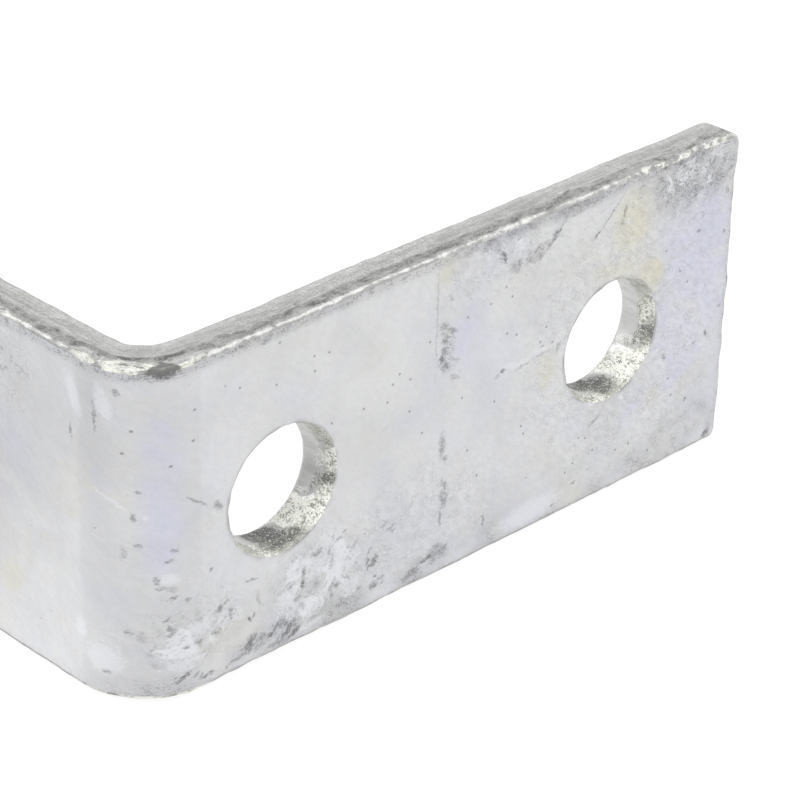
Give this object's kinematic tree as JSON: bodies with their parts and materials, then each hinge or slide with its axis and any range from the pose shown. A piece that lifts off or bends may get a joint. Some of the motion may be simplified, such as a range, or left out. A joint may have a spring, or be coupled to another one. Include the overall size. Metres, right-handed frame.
{
  "type": "u bracket",
  "caption": "Hat-shaped U bracket folded from one galvanised flat bar, punched for bolts in both wings and in the bridge, that holds a square strut channel down on another.",
  "frame": {"origin": "the middle of the bounding box's base: halfway between the wings' ends, halfway through the depth of the hat, on the surface the bracket stands on", "axes": "+X along the wings, +Y from the plane of the wings' undersides to the bridge that closes the U, +Z across the width of the bar, up from the long edge it stands on"},
  "size_m": [0.222, 0.046, 0.04],
  "materials": {
    "galvanised_steel": "hot-dip galvanised: satin light grey zinc with soft cloudy patches, fine pits and scratches, brighter on the rims"
  },
  "bodies": {
    "root": {"bracket": "galvanised_steel"}
  },
  "joints": []
}
